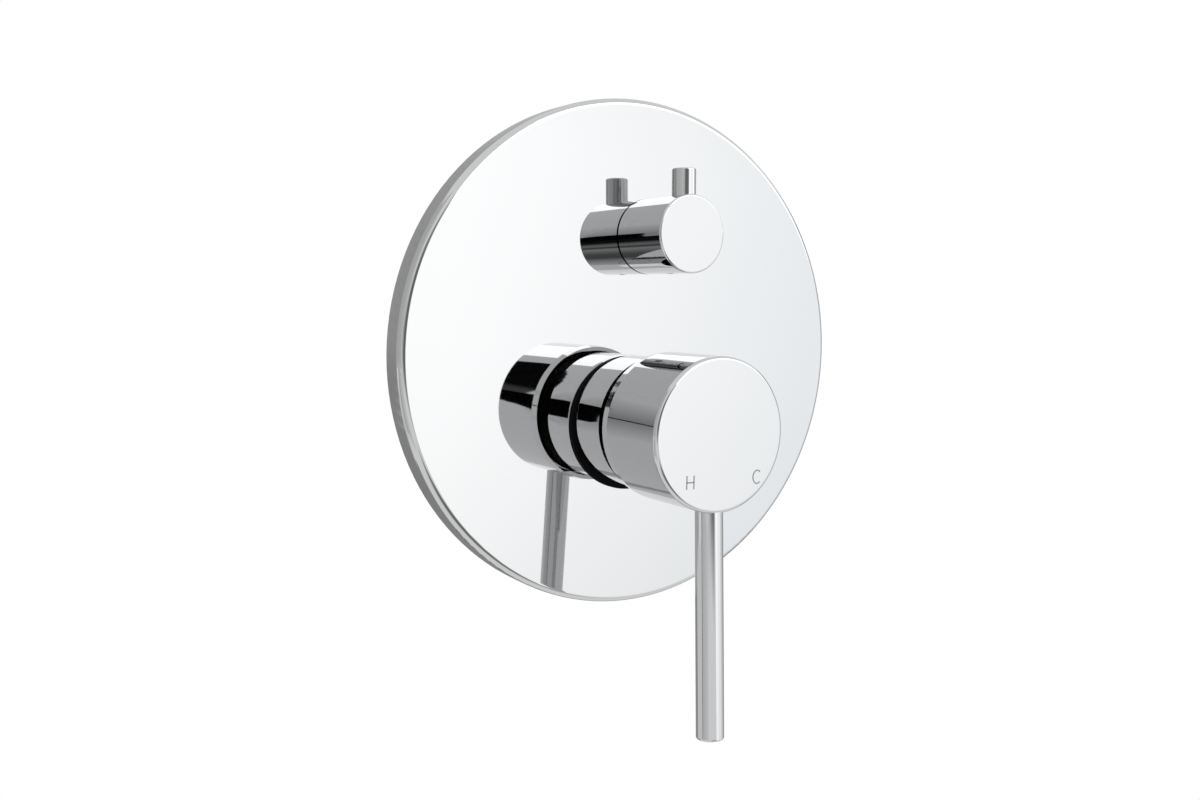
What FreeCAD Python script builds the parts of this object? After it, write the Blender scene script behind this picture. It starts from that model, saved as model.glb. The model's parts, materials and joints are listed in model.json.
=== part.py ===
import FreeCAD, Part
import math
import os

Vector = FreeCAD.Vector

# Concealed shower mixer with a two-way diverter. Millimetres.
# The finished wall is the plane Y = 0, the user stands on the -Y side and +Z is up.
# The origin is the centre of the round wall plate. Heights are counted from the
# plate's front face: positive towards the user, negative into the wall.

# Wall plate and its gasket
plate_diameter = 170.0
plate_depth = 10.0
plate_wall = 2.0
plate_edge_radius = 2.3
gasket_width = 7.0

# Valve axes, and how far the handle and the knob stand swung about them at rest
mixer_drop = 22.0
axis_spacing = 62.0
handle_swing = 5.5
knob_swing = 7.5

# Clearances
running_clearance = 0.08
thread_clearance = 0.1
seat_clearance = 0.05
free_clearance = 0.3
film = 0.05

# Mixer cartridge
cartridge_diameter = 35.0
cartridge_length = 28.2
cartridge_wall = 1.9
cartridge_roof = 4.0
cartridge_neck_diameter = 25.4
cartridge_neck_length = 7.0
base_thickness = 6.0
base_spigot = 3.0
disc_thickness = 4.0
moving_disc_diameter = 19.2
slider_width = 16.0
slider_thickness = 5.0
carrier_neck_diameter = 19.8
carrier_neck_stand = 1.0
port_circle_radius = 8.0
port_hole_diameter = 6.4
seal_ring_width = 1.6
seal_height = 1.8
seal_recess = 1.0

# Lever stem inside the cartridge
stem_width = 8.0
stem_tail = 5.0
pivot_stand = 2.0
pivot_pin_diameter = 3.0
pivot_arm = 12.6
tail_diameter = 4.0
ball_diameter = 5.2
lift_angle = 25.0

# Cartridge nut
nut_land = 0.7
nut_thread_length = 5.0
nut_hex_width = 32.0
nut_hex_length = 3.0
hexagon_bevel_angle = 30.0
hexagon_bevel_setback = 0.4

# Trim sleeve and its seal on the plate
neck_wall = 1.4
sleeve_wall = 3.1
sleeve_length = 15.6
sleeve_lip = 1.6
sleeve_lip_length = 1.4
sleeve_bevel = 0.5
sleeve_bevel_length = 2.0
sleeve_seal_thickness = 1.0
sleeve_seal_overhang = 1.0
neck_hole_clearance = 0.4

# Handle head
head_diameter = 48.0
head_length = 30.0
head_gap = 5.0
head_wall = 1.8
head_front_thickness = 12.5
head_face_radius = 1.4
head_bevel = 0.4
head_bevel_length = 3.3
boss_diameter = 18.0
boss_length = 13.0
stem_socket_depth = 10.5
handle_screw_diameter = 5.0
handle_screw_setback = 5.0
screw_key_share = 0.5
screw_key_depth = 2.0
screw_access_diameter = 6.4

# Lever rod
lever_diameter = 8.7
lever_reach = 93.9
lever_setback = 6.4
lever_lean = 4.0
lever_socket = 3.5
lever_spigot_diameter = 6.0
lever_spigot_length = 10.5
lever_end_radius = 0.8

# Diverter knob and its pin
knob_diameter = 25.2
knob_length = 24.6
knob_gap = 0.5
knob_wall = 2.1
knob_hollow = 9.0
knob_face_radius = 0.7
pin_diameter = 7.9
pin_reach = 8.4
pin_setback = 4.9
pin_socket = 2.0
pin_spigot_diameter = 4.0
pin_spigot_length = 4.0
pin_edge = 0.5
knob_screw_diameter = 4.0
knob_screw_length = 5.0
knob_screw_setback = 10.5

# Diverter cartridge
diverter_diameter = 25.0
diverter_wall = 1.2
diverter_roof = 2.6
diverter_disc_thickness = 3.0
diverter_port_circle_radius = 6.2
diverter_port_diameter = 5.0
diverter_seal_width = 1.3
foot_thickness = 2.4
spindle_diameter = 10.0
spindle_end_diameter = 8.0
spindle_end_stand = 2.5
spindle_end_length = 9.0
bonnet_tube_diameter = 16.0
bonnet_tube_stand = 6.0
o_ring_section = 1.5
bonnet_thread_length = 3.0
bonnet_hex_width = 29.0
bonnet_hex_length = 4.0
collar_length = 3.5
collar_gap = 0.5
collar_seal_thickness = 1.0

# Cast valve body
pocket_depth = 22.0
body_wall = 4.4
diverter_body_wall = 3.0
body_front_setback = 5.0
port_axis_depth = 38.0
port_outer_diameter = 26.0
port_hex_width = 28.0
port_hex_length = 14.0
port_bore_diameter = 18.6
port_bore_depth = 14.0
inlet_half_span = 50.0
outlet_reach = 72.0
passage_diameter = 11.0
passage_parting = 6.0
channel_diameter = 8.0
channel_offset = 5.6
rear_channel_setback = 12.0
back_wall = 3.5
web_width = 24.0
web_edge_radius = 5.0
lug_span = 80.0
lug_height = 9.0
lug_width = 14.0
lug_thickness = 5.0
lug_hole_diameter = 5.5

# Radii and axis places that follow from the sizes above
plate_radius = plate_diameter / 2
mixer_z = -mixer_drop
diverter_z = mixer_z + axis_spacing
cartridge_radius = cartridge_diameter / 2
pocket_radius = cartridge_radius + thread_clearance
nut_thread_radius = pocket_radius + nut_land
neck_radius = nut_thread_radius + neck_wall
sleeve_bore_radius = neck_radius + thread_clearance
sleeve_radius = sleeve_bore_radius + sleeve_wall
cavity_radius = cartridge_radius - cartridge_wall
carrier_neck_radius = carrier_neck_diameter / 2
head_radius = head_diameter / 2
lever_radius = lever_diameter / 2
knob_radius = knob_diameter / 2
knob_hollow_radius = knob_radius - knob_wall
pin_radius = pin_diameter / 2
diverter_radius = diverter_diameter / 2
diverter_cavity_radius = diverter_radius - diverter_wall
diverter_pocket_radius = diverter_radius + thread_clearance
bonnet_thread_radius = diverter_pocket_radius + nut_land
bonnet_tube_radius = bonnet_tube_diameter / 2
spindle_radius = spindle_diameter / 2
spindle_end_radius = spindle_end_diameter / 2

# Heights of the mixer, from the pocket floor to the face of the handle
floor_height = -pocket_depth
base_back = floor_height + seal_height - seal_recess
base_front = base_back + base_thickness
fixed_disc_front = base_front + disc_thickness
moving_disc_back = fixed_disc_front + film
moving_disc_front = moving_disc_back + disc_thickness
slider_front = moving_disc_front + slider_thickness
shoulder_height = base_back + cartridge_length
roof_height = shoulder_height - cartridge_roof
cartridge_top = shoulder_height + cartridge_neck_length
pivot_height = shoulder_height + pivot_stand
ball_height = pivot_height - pivot_arm
neck_front = shoulder_height + nut_thread_length
sleeve_front = sleeve_seal_thickness + sleeve_length
head_back = sleeve_front + head_gap
head_face = head_back + head_length
hollow_front = head_face - head_front_thickness
boss_back = hollow_front - boss_length
stem_front = boss_back + stem_socket_depth
handle_screw_height = boss_back + handle_screw_setback
lever_height = head_face - lever_setback

# Heights of the diverter, from the pocket floor to the face of the knob
diverter_disc_back = base_back
diverter_disc_front = diverter_disc_back + diverter_disc_thickness
diverter_moving_back = diverter_disc_front + film
diverter_moving_front = diverter_moving_back + diverter_disc_thickness
foot_front = diverter_moving_front + foot_thickness
diverter_roof_height = foot_front + running_clearance
diverter_shoulder = diverter_roof_height + diverter_roof
bonnet_seat = diverter_shoulder + bonnet_thread_length
spindle_shoulder = bonnet_tube_stand + spindle_end_stand
spindle_front = spindle_shoulder + spindle_end_length
knob_face = knob_gap + knob_length
pin_height = knob_face - pin_setback
knob_screw_height = knob_face - knob_screw_setback

# Heights of the ports and channels behind the pockets
port_height = -port_axis_depth
rear_channel_height = port_height - rear_channel_setback
body_back = rear_channel_height - channel_diameter / 2 - back_wall

same_place = 0.001
through = 2.0
full_turn = 360.0
hexagon_sides = 6
three_ports = (90.0, 210.0, 330.0)
lift_shares = (0.5, 1.0)

up = Vector(0, 0, 1)
down = Vector(0, 0, -1)
right = Vector(1, 0, 0)
left = Vector(-1, 0, 0)
inwards = Vector(0, 1, 0)
outwards = Vector(0, -1, 0)


def level(height):
    """Y of the plane at a height in front of the plate's face."""
    return -plate_depth - height


def turned(outline, axis_z):
    """Turned piece about a valve axis; the outline is (radius, height) corners."""
    corners = [Vector(radius, level(height), axis_z) for radius, height in outline]
    face = Part.Face(Part.makePolygon(corners + corners[:1]))
    return face.revolve(Vector(0, 0, axis_z), inwards, full_turn)


def rod(radius, back, front, axis_z, x=0.0):
    """Cylinder along a valve axis between two heights."""
    return Part.makeCylinder(radius, front - back, Vector(x, level(back), axis_z), outwards)


def ring(outer, inner, back, front, axis_z, x=0.0):
    """Plain ring along a valve axis between two heights."""
    return rod(outer, back, front, axis_z, x).cut(rod(inner, back - through, front + through, axis_z, x))


def hexagon(width, origin, beside, across, length):
    """Hexagonal prism from its base, width across flats, with a corner along the first direction."""
    half_side = math.pi / hexagon_sides
    corner = width / 2 / math.cos(half_side)
    points = []
    for side in range(hexagon_sides + 1):
        angle = 2 * half_side * side
        points.append(origin + beside * (corner * math.cos(angle)) + across * (corner * math.sin(angle)))
    return Part.Face(Part.makePolygon(points)).extrude(length)


def bevelled_hexagon(width, origin, beside, direction, length):
    """Hexagonal prism for a spanner, with its corners turned off at the far end."""
    prism = hexagon(width, origin, beside, direction.cross(beside), direction * length)
    small = width / 2 - hexagon_bevel_setback
    large = width / 2 / math.cos(math.pi / hexagon_sides) + hexagon_bevel_setback
    bevel = (large - small) * math.tan(math.radians(hexagon_bevel_angle))
    barrel = Part.makeCylinder(large, length - bevel, origin, direction)
    cone = Part.makeCone(large, small, bevel, origin + direction * (length - bevel), direction)
    return prism.common(barrel.fuse(cone))


def spanner_hexagon(width, back, front, axis_z):
    """Hexagon of a nut along a valve axis between two heights."""
    return bevelled_hexagon(width, Vector(0, level(back), axis_z), right, outwards, front - back)


def block(width, low_z, high_z, back, front):
    """Box centred on X between two Z places and two heights."""
    corner = Vector(-width / 2, level(front), low_z)
    return Part.makeBox(width, front - back, high_z - low_z, corner)


def radial(radius, start, end, axis_z, height, direction, x=0.0):
    """Cylinder across a valve axis between two distances from it."""
    origin = Vector(x, level(height), axis_z)
    return Part.makeCylinder(radius, end - start, origin + direction * start, direction)


def rims(solid, radius, height, axis_z):
    """Circular edges of a radius at a height about a valve axis."""
    centre = Vector(0, level(height), axis_z)
    found = []
    for edge in solid.Edges:
        if not isinstance(edge.Curve, Part.Circle):
            continue
        same_size = abs(edge.Curve.Radius - radius) < same_place
        if same_size and edge.Curve.Center.distanceToPoint(centre) < same_place:
            found.append(edge)
    return found


def port_places(circle_radius, axis_z):
    """X and Z of the three water holes under a ceramic disc."""
    places = []
    for angle in three_ports:
        turn = math.radians(angle)
        places.append((circle_radius * math.cos(turn), axis_z + circle_radius * math.sin(turn)))
    return places


def pierced(solid, circle_radius, hole_radius, back, front, axis_z):
    """A piece with the three water holes drilled through it."""
    for x, z in port_places(circle_radius, axis_z):
        solid = solid.cut(rod(hole_radius, back - through, front + through, z, x))
    return solid


def grub_screw(diameter, start, end, axis_z, height):
    """Headless screw that points at a valve axis from below, with a hexagon key hole."""
    screw = radial(diameter / 2, start, end, axis_z, height, down)
    mouth = Vector(0, level(height), axis_z - end)
    return screw.cut(hexagon(diameter * screw_key_share, mouth, right, inwards, up * screw_key_depth))


def keep(makers, swing, axis_z):
    """Build a group of pieces, swing it about its valve axis and write each piece to its own file."""
    for name, make in makers.items():
        shape = make()
        shape.rotate(Vector(0, 0, axis_z), outwards, swing)
        shape.exportStep(f"parts/{name}.step")


# Wall plate: a pressed dish with a rolled front edge and a hole for each valve
def make_face_plate():
    plate = rod(plate_radius, -plate_depth, 0, 0)
    plate = plate.makeFillet(plate_edge_radius, rims(plate, plate_radius, 0, 0))
    plate = plate.cut(rod(plate_radius - plate_wall, -plate_depth - through, -plate_wall, 0))
    plate = plate.cut(rod(neck_radius + neck_hole_clearance, -plate_depth, through, mixer_z))
    return plate.cut(rod(bonnet_tube_radius + neck_hole_clearance, -plate_depth, through, diverter_z))


# Foam gasket: fills the plate's rim and seals it to the tiles
def make_plate_gasket():
    outer = plate_radius - plate_wall - seat_clearance
    return ring(outer, outer - gasket_width, -plate_depth, -plate_wall, 0)


# Trim sleeve: a turned nut on the body's neck that clamps the plate through its seal
def make_mixer_sleeve():
    back = sleeve_seal_thickness
    lip_radius = sleeve_bore_radius - sleeve_lip
    outline = [
        (sleeve_bore_radius, back),
        (sleeve_radius - sleeve_bevel, back),
        (sleeve_radius, back + sleeve_bevel_length),
        (sleeve_radius, sleeve_front),
        (lip_radius, sleeve_front),
        (lip_radius, sleeve_front - sleeve_lip_length),
        (sleeve_bore_radius, sleeve_front - sleeve_lip_length),
    ]
    return turned(outline, mixer_z)


def make_sleeve_seal():
    outer = sleeve_radius + sleeve_seal_overhang
    return ring(outer, sleeve_bore_radius, 0, sleeve_seal_thickness, mixer_z)


# Handle head: a turned cup with a boss for the stem and a socket for the lever rod
def lever_direction():
    lean = math.radians(lever_lean)
    return Vector(0, -math.sin(lean), -math.cos(lean))


def lever_seat():
    return head_radius - lever_socket


def make_handle_head():
    boss_radius = boss_diameter / 2
    hollow_radius = head_radius - head_wall
    outline = [
        (0, boss_back),
        (boss_radius, boss_back),
        (boss_radius, hollow_front),
        (hollow_radius, hollow_front),
        (hollow_radius, head_back),
        (head_radius - head_bevel, head_back),
        (head_radius, head_back + head_bevel_length),
        (head_radius, head_face),
        (0, head_face),
    ]
    head = turned(outline, mixer_z)
    head = head.makeFillet(head_face_radius, rims(head, head_radius, head_face, mixer_z))
    socket_width = stem_width + 2 * seat_clearance
    half_socket = socket_width / 2
    socket_low = mixer_z - half_socket
    socket_high = mixer_z + half_socket
    head = head.cut(block(socket_width, socket_low, socket_high, boss_back - through, stem_front))
    lever_end = head_radius + through
    seat = lever_seat()
    spigot_end = seat - lever_spigot_length - seat_clearance
    direction = lever_direction()
    socket_radius = lever_radius + seat_clearance
    head = head.cut(radial(socket_radius, seat, lever_end, mixer_z, lever_height, direction))
    spigot_radius = lever_spigot_diameter / 2 + seat_clearance
    head = head.cut(radial(spigot_radius, spigot_end, lever_end, mixer_z, lever_height, direction))
    screw_radius = handle_screw_diameter / 2 + seat_clearance
    head = head.cut(radial(screw_radius, 0, boss_radius + through, mixer_z, handle_screw_height, down))
    access = screw_access_diameter / 2
    return head.cut(radial(access, boss_radius + through, lever_end, mixer_z, handle_screw_height, down))


def make_handle_lever():
    direction = lever_direction()
    seat = lever_seat()
    bar = radial(lever_radius, seat, lever_reach, mixer_z, lever_height, direction)
    tip = Vector(0, level(lever_height), mixer_z) + direction * lever_reach
    tip_edges = [edge for edge in bar.Edges if edge.CenterOfMass.distanceToPoint(tip) < same_place]
    bar = bar.makeFillet(lever_end_radius, tip_edges)
    spigot_back = seat - lever_spigot_length
    spigot = radial(lever_spigot_diameter / 2, spigot_back, seat, mixer_z, lever_height, direction)
    return bar.fuse(spigot)


def make_handle_set_screw():
    start = stem_width / 2
    return grub_screw(handle_screw_diameter, start, boss_diameter / 2, mixer_z, handle_screw_height)


# Lever stem: a square bar on the pivot pin, with a ball that pushes the disc slider
def make_lever_stem():
    half = stem_width / 2
    stem_back = pivot_height - stem_tail
    bar = block(stem_width, mixer_z - half, mixer_z + half, stem_back, stem_front)
    tail = rod(tail_diameter / 2, ball_height, stem_back + through, mixer_z)
    ball = Part.makeSphere(ball_diameter / 2, Vector(0, level(ball_height), mixer_z))
    stem = bar.fuse([tail, ball])
    pin_hole_radius = pivot_pin_diameter / 2 + running_clearance
    return stem.cut(radial(pin_hole_radius, -stem_width, stem_width, mixer_z, pivot_height, right))


def make_pivot_pin():
    reach = carrier_neck_radius - free_clearance
    return radial(pivot_pin_diameter / 2, -reach, reach, mixer_z, pivot_height, right)


# Carrier: turns in the housing, guides the slider below and holds the stem's pin above
def stem_room():
    half = stem_width / 2 + free_clearance
    back = pivot_height - stem_tail - through / 2
    front = cartridge_top + carrier_neck_stand + stem_width
    room = block(2 * half, mixer_z - half, mixer_z + half, back, front)
    lifted_rooms = []
    for share in lift_shares:
        lifted = room.copy()
        lifted.rotate(Vector(0, level(pivot_height), mixer_z), left, lift_angle * share)
        lifted_rooms.append(lifted)
    return room.fuse(lifted_rooms)


def make_carrier():
    skirt_radius = cavity_radius - running_clearance
    skirt_back = moving_disc_front + free_clearance
    skirt_front = roof_height - running_clearance
    carrier = rod(skirt_radius, skirt_back, skirt_front, mixer_z)
    carrier_front = cartridge_top + carrier_neck_stand
    carrier = carrier.fuse(rod(carrier_neck_radius, skirt_front, carrier_front, mixer_z))
    guide_width = slider_width + 2 * running_clearance
    guide_end = cavity_radius + through
    guide_front = slider_front + running_clearance
    guide = block(guide_width, mixer_z - guide_end, mixer_z + guide_end, skirt_back - through, guide_front)
    carrier = carrier.cut(guide)
    lift = math.radians(lift_angle)
    ball_room = ball_diameter / 2 + free_clearance
    swing = pivot_arm * math.tan(lift) + ball_room
    slot_front = pivot_height - stem_tail / 2
    slot = block(2 * ball_room, mixer_z - swing, mixer_z + ball_room, guide_front - through, slot_front)
    carrier = carrier.cut([slot, stem_room()])
    pin_hole = radial(
        pivot_pin_diameter / 2 + seat_clearance, -cavity_radius, cavity_radius, mixer_z, pivot_height, right
    )
    return carrier.cut(pin_hole)


# Moving disc and its slider: the slider has flats for the guide and a pocket for the ball
def make_moving_disc():
    disc = rod(moving_disc_diameter / 2, moving_disc_back, moving_disc_front, mixer_z)
    chamber_depth = disc_thickness / 2
    chamber_radius = moving_disc_diameter / 2 - seal_ring_width
    chamber = rod(chamber_radius, moving_disc_back - through, moving_disc_back + chamber_depth, mixer_z)
    return disc.cut(chamber)


def make_disc_slider():
    slider = rod(moving_disc_diameter / 2, moving_disc_front, slider_front, mixer_z)
    half_length = moving_disc_diameter / 2
    low = mixer_z - half_length
    flats = block(slider_width, low, mixer_z + half_length, moving_disc_front, slider_front)
    slider = slider.common(flats)
    half = ball_diameter / 2 + running_clearance
    pocket_back = ball_height - half
    pocket = block(2 * half, mixer_z - half, mixer_z + half, pocket_back, slider_front + through)
    return slider.cut(pocket)


# Cartridge housing, base and fixed disc
def make_cartridge_housing():
    back = base_front - base_spigot
    neck_radius_outside = cartridge_neck_diameter / 2
    bore_radius = carrier_neck_radius + running_clearance
    outline = [
        (cavity_radius, back),
        (cartridge_radius, back),
        (cartridge_radius, shoulder_height),
        (neck_radius_outside, shoulder_height),
        (neck_radius_outside, cartridge_top),
        (bore_radius, cartridge_top),
        (bore_radius, roof_height),
        (cavity_radius, roof_height),
    ]
    return turned(outline, mixer_z)


def make_cartridge_base():
    step = base_front - base_spigot
    base = rod(cartridge_radius, base_back, step, mixer_z)
    base = base.fuse(rod(cavity_radius - seat_clearance, step, base_front, mixer_z))
    hole_radius = port_hole_diameter / 2
    base = pierced(base, port_circle_radius, hole_radius, base_back, base_front, mixer_z)
    recess_radius = hole_radius + seal_ring_width + seat_clearance
    for x, z in port_places(port_circle_radius, mixer_z):
        base = base.cut(rod(recess_radius, base_back - through, base_back + seal_recess, z, x))
    return base


def make_base_seals():
    inner = port_hole_diameter / 2
    rings = []
    for x, z in port_places(port_circle_radius, mixer_z):
        rings.append(ring(inner + seal_ring_width, inner, floor_height, base_back + seal_recess, z, x))
    return Part.makeCompound(rings)


def make_fixed_disc():
    disc = rod(cavity_radius - seat_clearance, base_front, fixed_disc_front, mixer_z)
    return pierced(disc, port_circle_radius, port_hole_diameter / 2, base_front, fixed_disc_front, mixer_z)


# Cartridge nut: screws into the neck and holds the housing down by its shoulder
def make_cartridge_nut():
    bore_radius = cartridge_neck_diameter / 2 + thread_clearance
    nut = rod(nut_thread_radius - thread_clearance, shoulder_height, neck_front, mixer_z)
    nut_front = neck_front + nut_hex_length
    nut = nut.fuse(spanner_hexagon(nut_hex_width, neck_front, nut_front, mixer_z))
    return nut.cut(rod(bore_radius, shoulder_height - through, nut_front + through, mixer_z))


# Diverter knob: a turned cap with a short pin on top and a grub screw below
def make_diverter_knob():
    hollow_front_height = knob_gap + knob_hollow
    socket_radius = spindle_end_radius + seat_clearance
    socket_front = spindle_front + free_clearance
    outline = [
        (knob_hollow_radius, knob_gap),
        (knob_radius, knob_gap),
        (knob_radius, knob_face),
        (0, knob_face),
        (0, socket_front),
        (socket_radius, socket_front),
        (socket_radius, hollow_front_height),
        (knob_hollow_radius, hollow_front_height),
    ]
    knob = turned(outline, diverter_z)
    knob = knob.makeFillet(knob_face_radius, rims(knob, knob_radius, knob_face, diverter_z))
    seat = knob_radius - pin_socket
    outside = knob_radius + through
    knob = knob.cut(radial(pin_radius + seat_clearance, seat, outside, diverter_z, pin_height, up))
    spigot_start = seat - pin_spigot_length - seat_clearance
    spigot_radius = pin_spigot_diameter / 2 + seat_clearance
    knob = knob.cut(radial(spigot_radius, spigot_start, outside, diverter_z, pin_height, up))
    screw_radius = knob_screw_diameter / 2 + seat_clearance
    return knob.cut(radial(screw_radius, 0, outside, diverter_z, knob_screw_height, down))


def make_knob_pin():
    seat = knob_radius - pin_socket
    top = knob_radius + pin_reach
    pin = radial(pin_radius, seat, top, diverter_z, pin_height, up)
    tip = Vector(0, level(pin_height), diverter_z + top)
    tip_edges = [edge for edge in pin.Edges if edge.CenterOfMass.distanceToPoint(tip) < same_place]
    pin = pin.makeFillet(pin_edge, tip_edges)
    spigot_start = seat - pin_spigot_length
    return pin.fuse(radial(pin_spigot_diameter / 2, spigot_start, seat, diverter_z, pin_height, up))


def make_knob_set_screw():
    start = spindle_end_radius + seat_clearance
    return grub_screw(knob_screw_diameter, start, start + knob_screw_length, diverter_z, knob_screw_height)


# Diverter spindle: a foot that turns the disc, a sealed journal and an end for the knob
def o_ring_height():
    return bonnet_tube_stand / 2


def make_diverter_spindle():
    half_groove = o_ring_section / 2 + seat_clearance
    groove_radius = spindle_radius - o_ring_section
    foot_radius = diverter_cavity_radius - running_clearance
    outline = [
        (0, diverter_moving_front),
        (foot_radius, diverter_moving_front),
        (foot_radius, foot_front),
        (spindle_radius, foot_front),
        (spindle_radius, o_ring_height() - half_groove),
        (groove_radius, o_ring_height() - half_groove),
        (groove_radius, o_ring_height() + half_groove),
        (spindle_radius, o_ring_height() + half_groove),
        (spindle_radius, spindle_shoulder),
        (spindle_end_radius, spindle_shoulder),
        (spindle_end_radius, spindle_front),
        (0, spindle_front),
    ]
    return turned(outline, diverter_z)


def make_spindle_o_ring():
    section = o_ring_section / 2
    centre = Vector(0, level(o_ring_height()), diverter_z)
    return Part.makeTorus(spindle_radius - section, section - seat_clearance, centre, inwards)


def make_diverter_moving_disc():
    radius = diverter_cavity_radius - running_clearance
    disc = rod(radius, diverter_moving_back, diverter_moving_front, diverter_z)
    chamber_front = diverter_moving_back + diverter_disc_thickness / 2
    half = block(2 * radius, diverter_z - radius, diverter_z, diverter_moving_back - through, chamber_front)
    chamber = rod(radius - diverter_seal_width, diverter_moving_back - through, chamber_front, diverter_z)
    return disc.cut(chamber.common(half))


def make_diverter_fixed_disc():
    disc = rod(diverter_cavity_radius - seat_clearance, diverter_disc_back, diverter_disc_front, diverter_z)
    hole_radius = diverter_port_diameter / 2
    return pierced(
        disc, diverter_port_circle_radius, hole_radius, diverter_disc_back, diverter_disc_front, diverter_z
    )


def make_diverter_seals():
    inner = diverter_port_diameter / 2
    rings = []
    for x, z in port_places(diverter_port_circle_radius, diverter_z):
        rings.append(ring(inner + diverter_seal_width, inner, floor_height, diverter_disc_back, z, x))
    return Part.makeCompound(rings)


def make_diverter_housing():
    bore_radius = spindle_radius + running_clearance
    outline = [
        (diverter_cavity_radius, diverter_disc_back),
        (diverter_radius, diverter_disc_back),
        (diverter_radius, diverter_shoulder),
        (bonnet_tube_radius, diverter_shoulder),
        (bonnet_tube_radius, bonnet_tube_stand),
        (bore_radius, bonnet_tube_stand),
        (bore_radius, diverter_roof_height),
        (diverter_cavity_radius, diverter_roof_height),
    ]
    return turned(outline, diverter_z)


def make_bonnet_nut():
    nut = rod(bonnet_thread_radius - thread_clearance, diverter_shoulder, bonnet_seat, diverter_z)
    nut_front = bonnet_seat + bonnet_hex_length
    nut = nut.fuse(spanner_hexagon(bonnet_hex_width, bonnet_seat, nut_front, diverter_z))
    bore_radius = bonnet_tube_radius + thread_clearance
    return nut.cut(rod(bore_radius, diverter_shoulder - through, nut_front + through, diverter_z))


# Collar and seal: hold the plate at the diverter, hidden inside the knob
def make_diverter_collar():
    outer = knob_hollow_radius - collar_gap
    inner = bonnet_tube_radius + thread_clearance
    return ring(outer, inner, collar_seal_thickness, collar_seal_thickness + collar_length, diverter_z)


def make_collar_seal():
    outer = knob_hollow_radius - collar_gap
    return ring(outer, bonnet_tube_radius + thread_clearance, 0, collar_seal_thickness, diverter_z)


# Valve body: one casting with two pockets, four ports, drilled channels and wall lugs
def port_boss(direction, axis_z, end):
    """Outside of a port: a round arm and a hexagon for the spanner."""
    arm = radial(port_outer_diameter / 2, 0, end - port_hex_length, axis_z, port_height, direction)
    collar_start = Vector(0, level(port_height), axis_z) + direction * (end - port_hex_length)
    beside = direction.cross(inwards)
    return [arm, bevelled_hexagon(port_hex_width, collar_start, beside, direction, port_hex_length)]


def port_bore(direction, axis_z, end):
    start = end - port_bore_depth
    return radial(port_bore_diameter / 2, start, end + through, axis_z, port_height, direction)


def lug_bar():
    """Flat bar across the back with a round screw eye at each end."""
    half = lug_width / 2
    front = body_back + lug_thickness
    bar = Part.makeBox(
        lug_span, lug_thickness, lug_width, Vector(-lug_span / 2, level(front), lug_height - half)
    )
    eyes = [rod(half, body_back, front, lug_height, side * lug_span / 2) for side in (-1, 1)]
    return bar.fuse(eyes)


def water_channels():
    """Drillings that join the ports to the holes in the pocket floors."""
    passage = passage_diameter / 2
    channel = channel_diameter / 2
    mixer_hole = port_hole_diameter / 2
    diverter_hole = diverter_port_diameter / 2
    mixed, hot, cold = port_places(port_circle_radius, mixer_z)
    top, feed, bath = port_places(diverter_port_circle_radius, diverter_z)
    parting = passage_parting / 2
    inlet_end = inlet_half_span - port_bore_depth + through
    shower_end = outlet_reach - diverter_z - port_bore_depth + through
    bath_end = outlet_reach + mixer_z - port_bore_depth
    bath_start = bath_end - port_bore_depth
    deep = floor_height + through
    bath_z = mixer_z - bath_start - channel
    rise = diverter_z - mixed[1]
    fall = bath[1] - bath_z
    return [
        radial(passage, parting, inlet_end, mixer_z, port_height, left),
        radial(passage, parting, inlet_end, mixer_z, port_height, right),
        rod(mixer_hole, port_height, deep, hot[1], hot[0]),
        rod(mixer_hole, port_height, deep, cold[1], cold[0]),
        rod(mixer_hole, port_height, deep, mixed[1], mixed[0]),
        radial(channel, 0, rise, mixed[1], port_height, up, -channel_offset),
        rod(diverter_hole, port_height, deep, feed[1], feed[0]),
        rod(diverter_hole, port_height, deep, top[1], top[0]),
        radial(passage, top[1] - diverter_z, shower_end, diverter_z, port_height, up),
        rod(diverter_hole, rear_channel_height, deep, bath[1], bath[0]),
        radial(channel, 0, fall, bath[1], rear_channel_height, down, channel_offset),
        rod(channel, rear_channel_height, port_height, bath_z, channel_offset),
        radial(passage, bath_start, bath_end + through, mixer_z, port_height, down),
    ]


def body_web(low_z):
    """Upright bridge of the casting, with rounded long edges, that carries the channels."""
    web = block(web_width, low_z, diverter_z, body_back, floor_height - channel_diameter / 2)
    height = diverter_z - low_z
    long_edges = [edge for edge in web.Edges if abs(edge.BoundBox.ZLength - height) < same_place]
    return web.makeFillet(web_edge_radius, long_edges)


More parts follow.
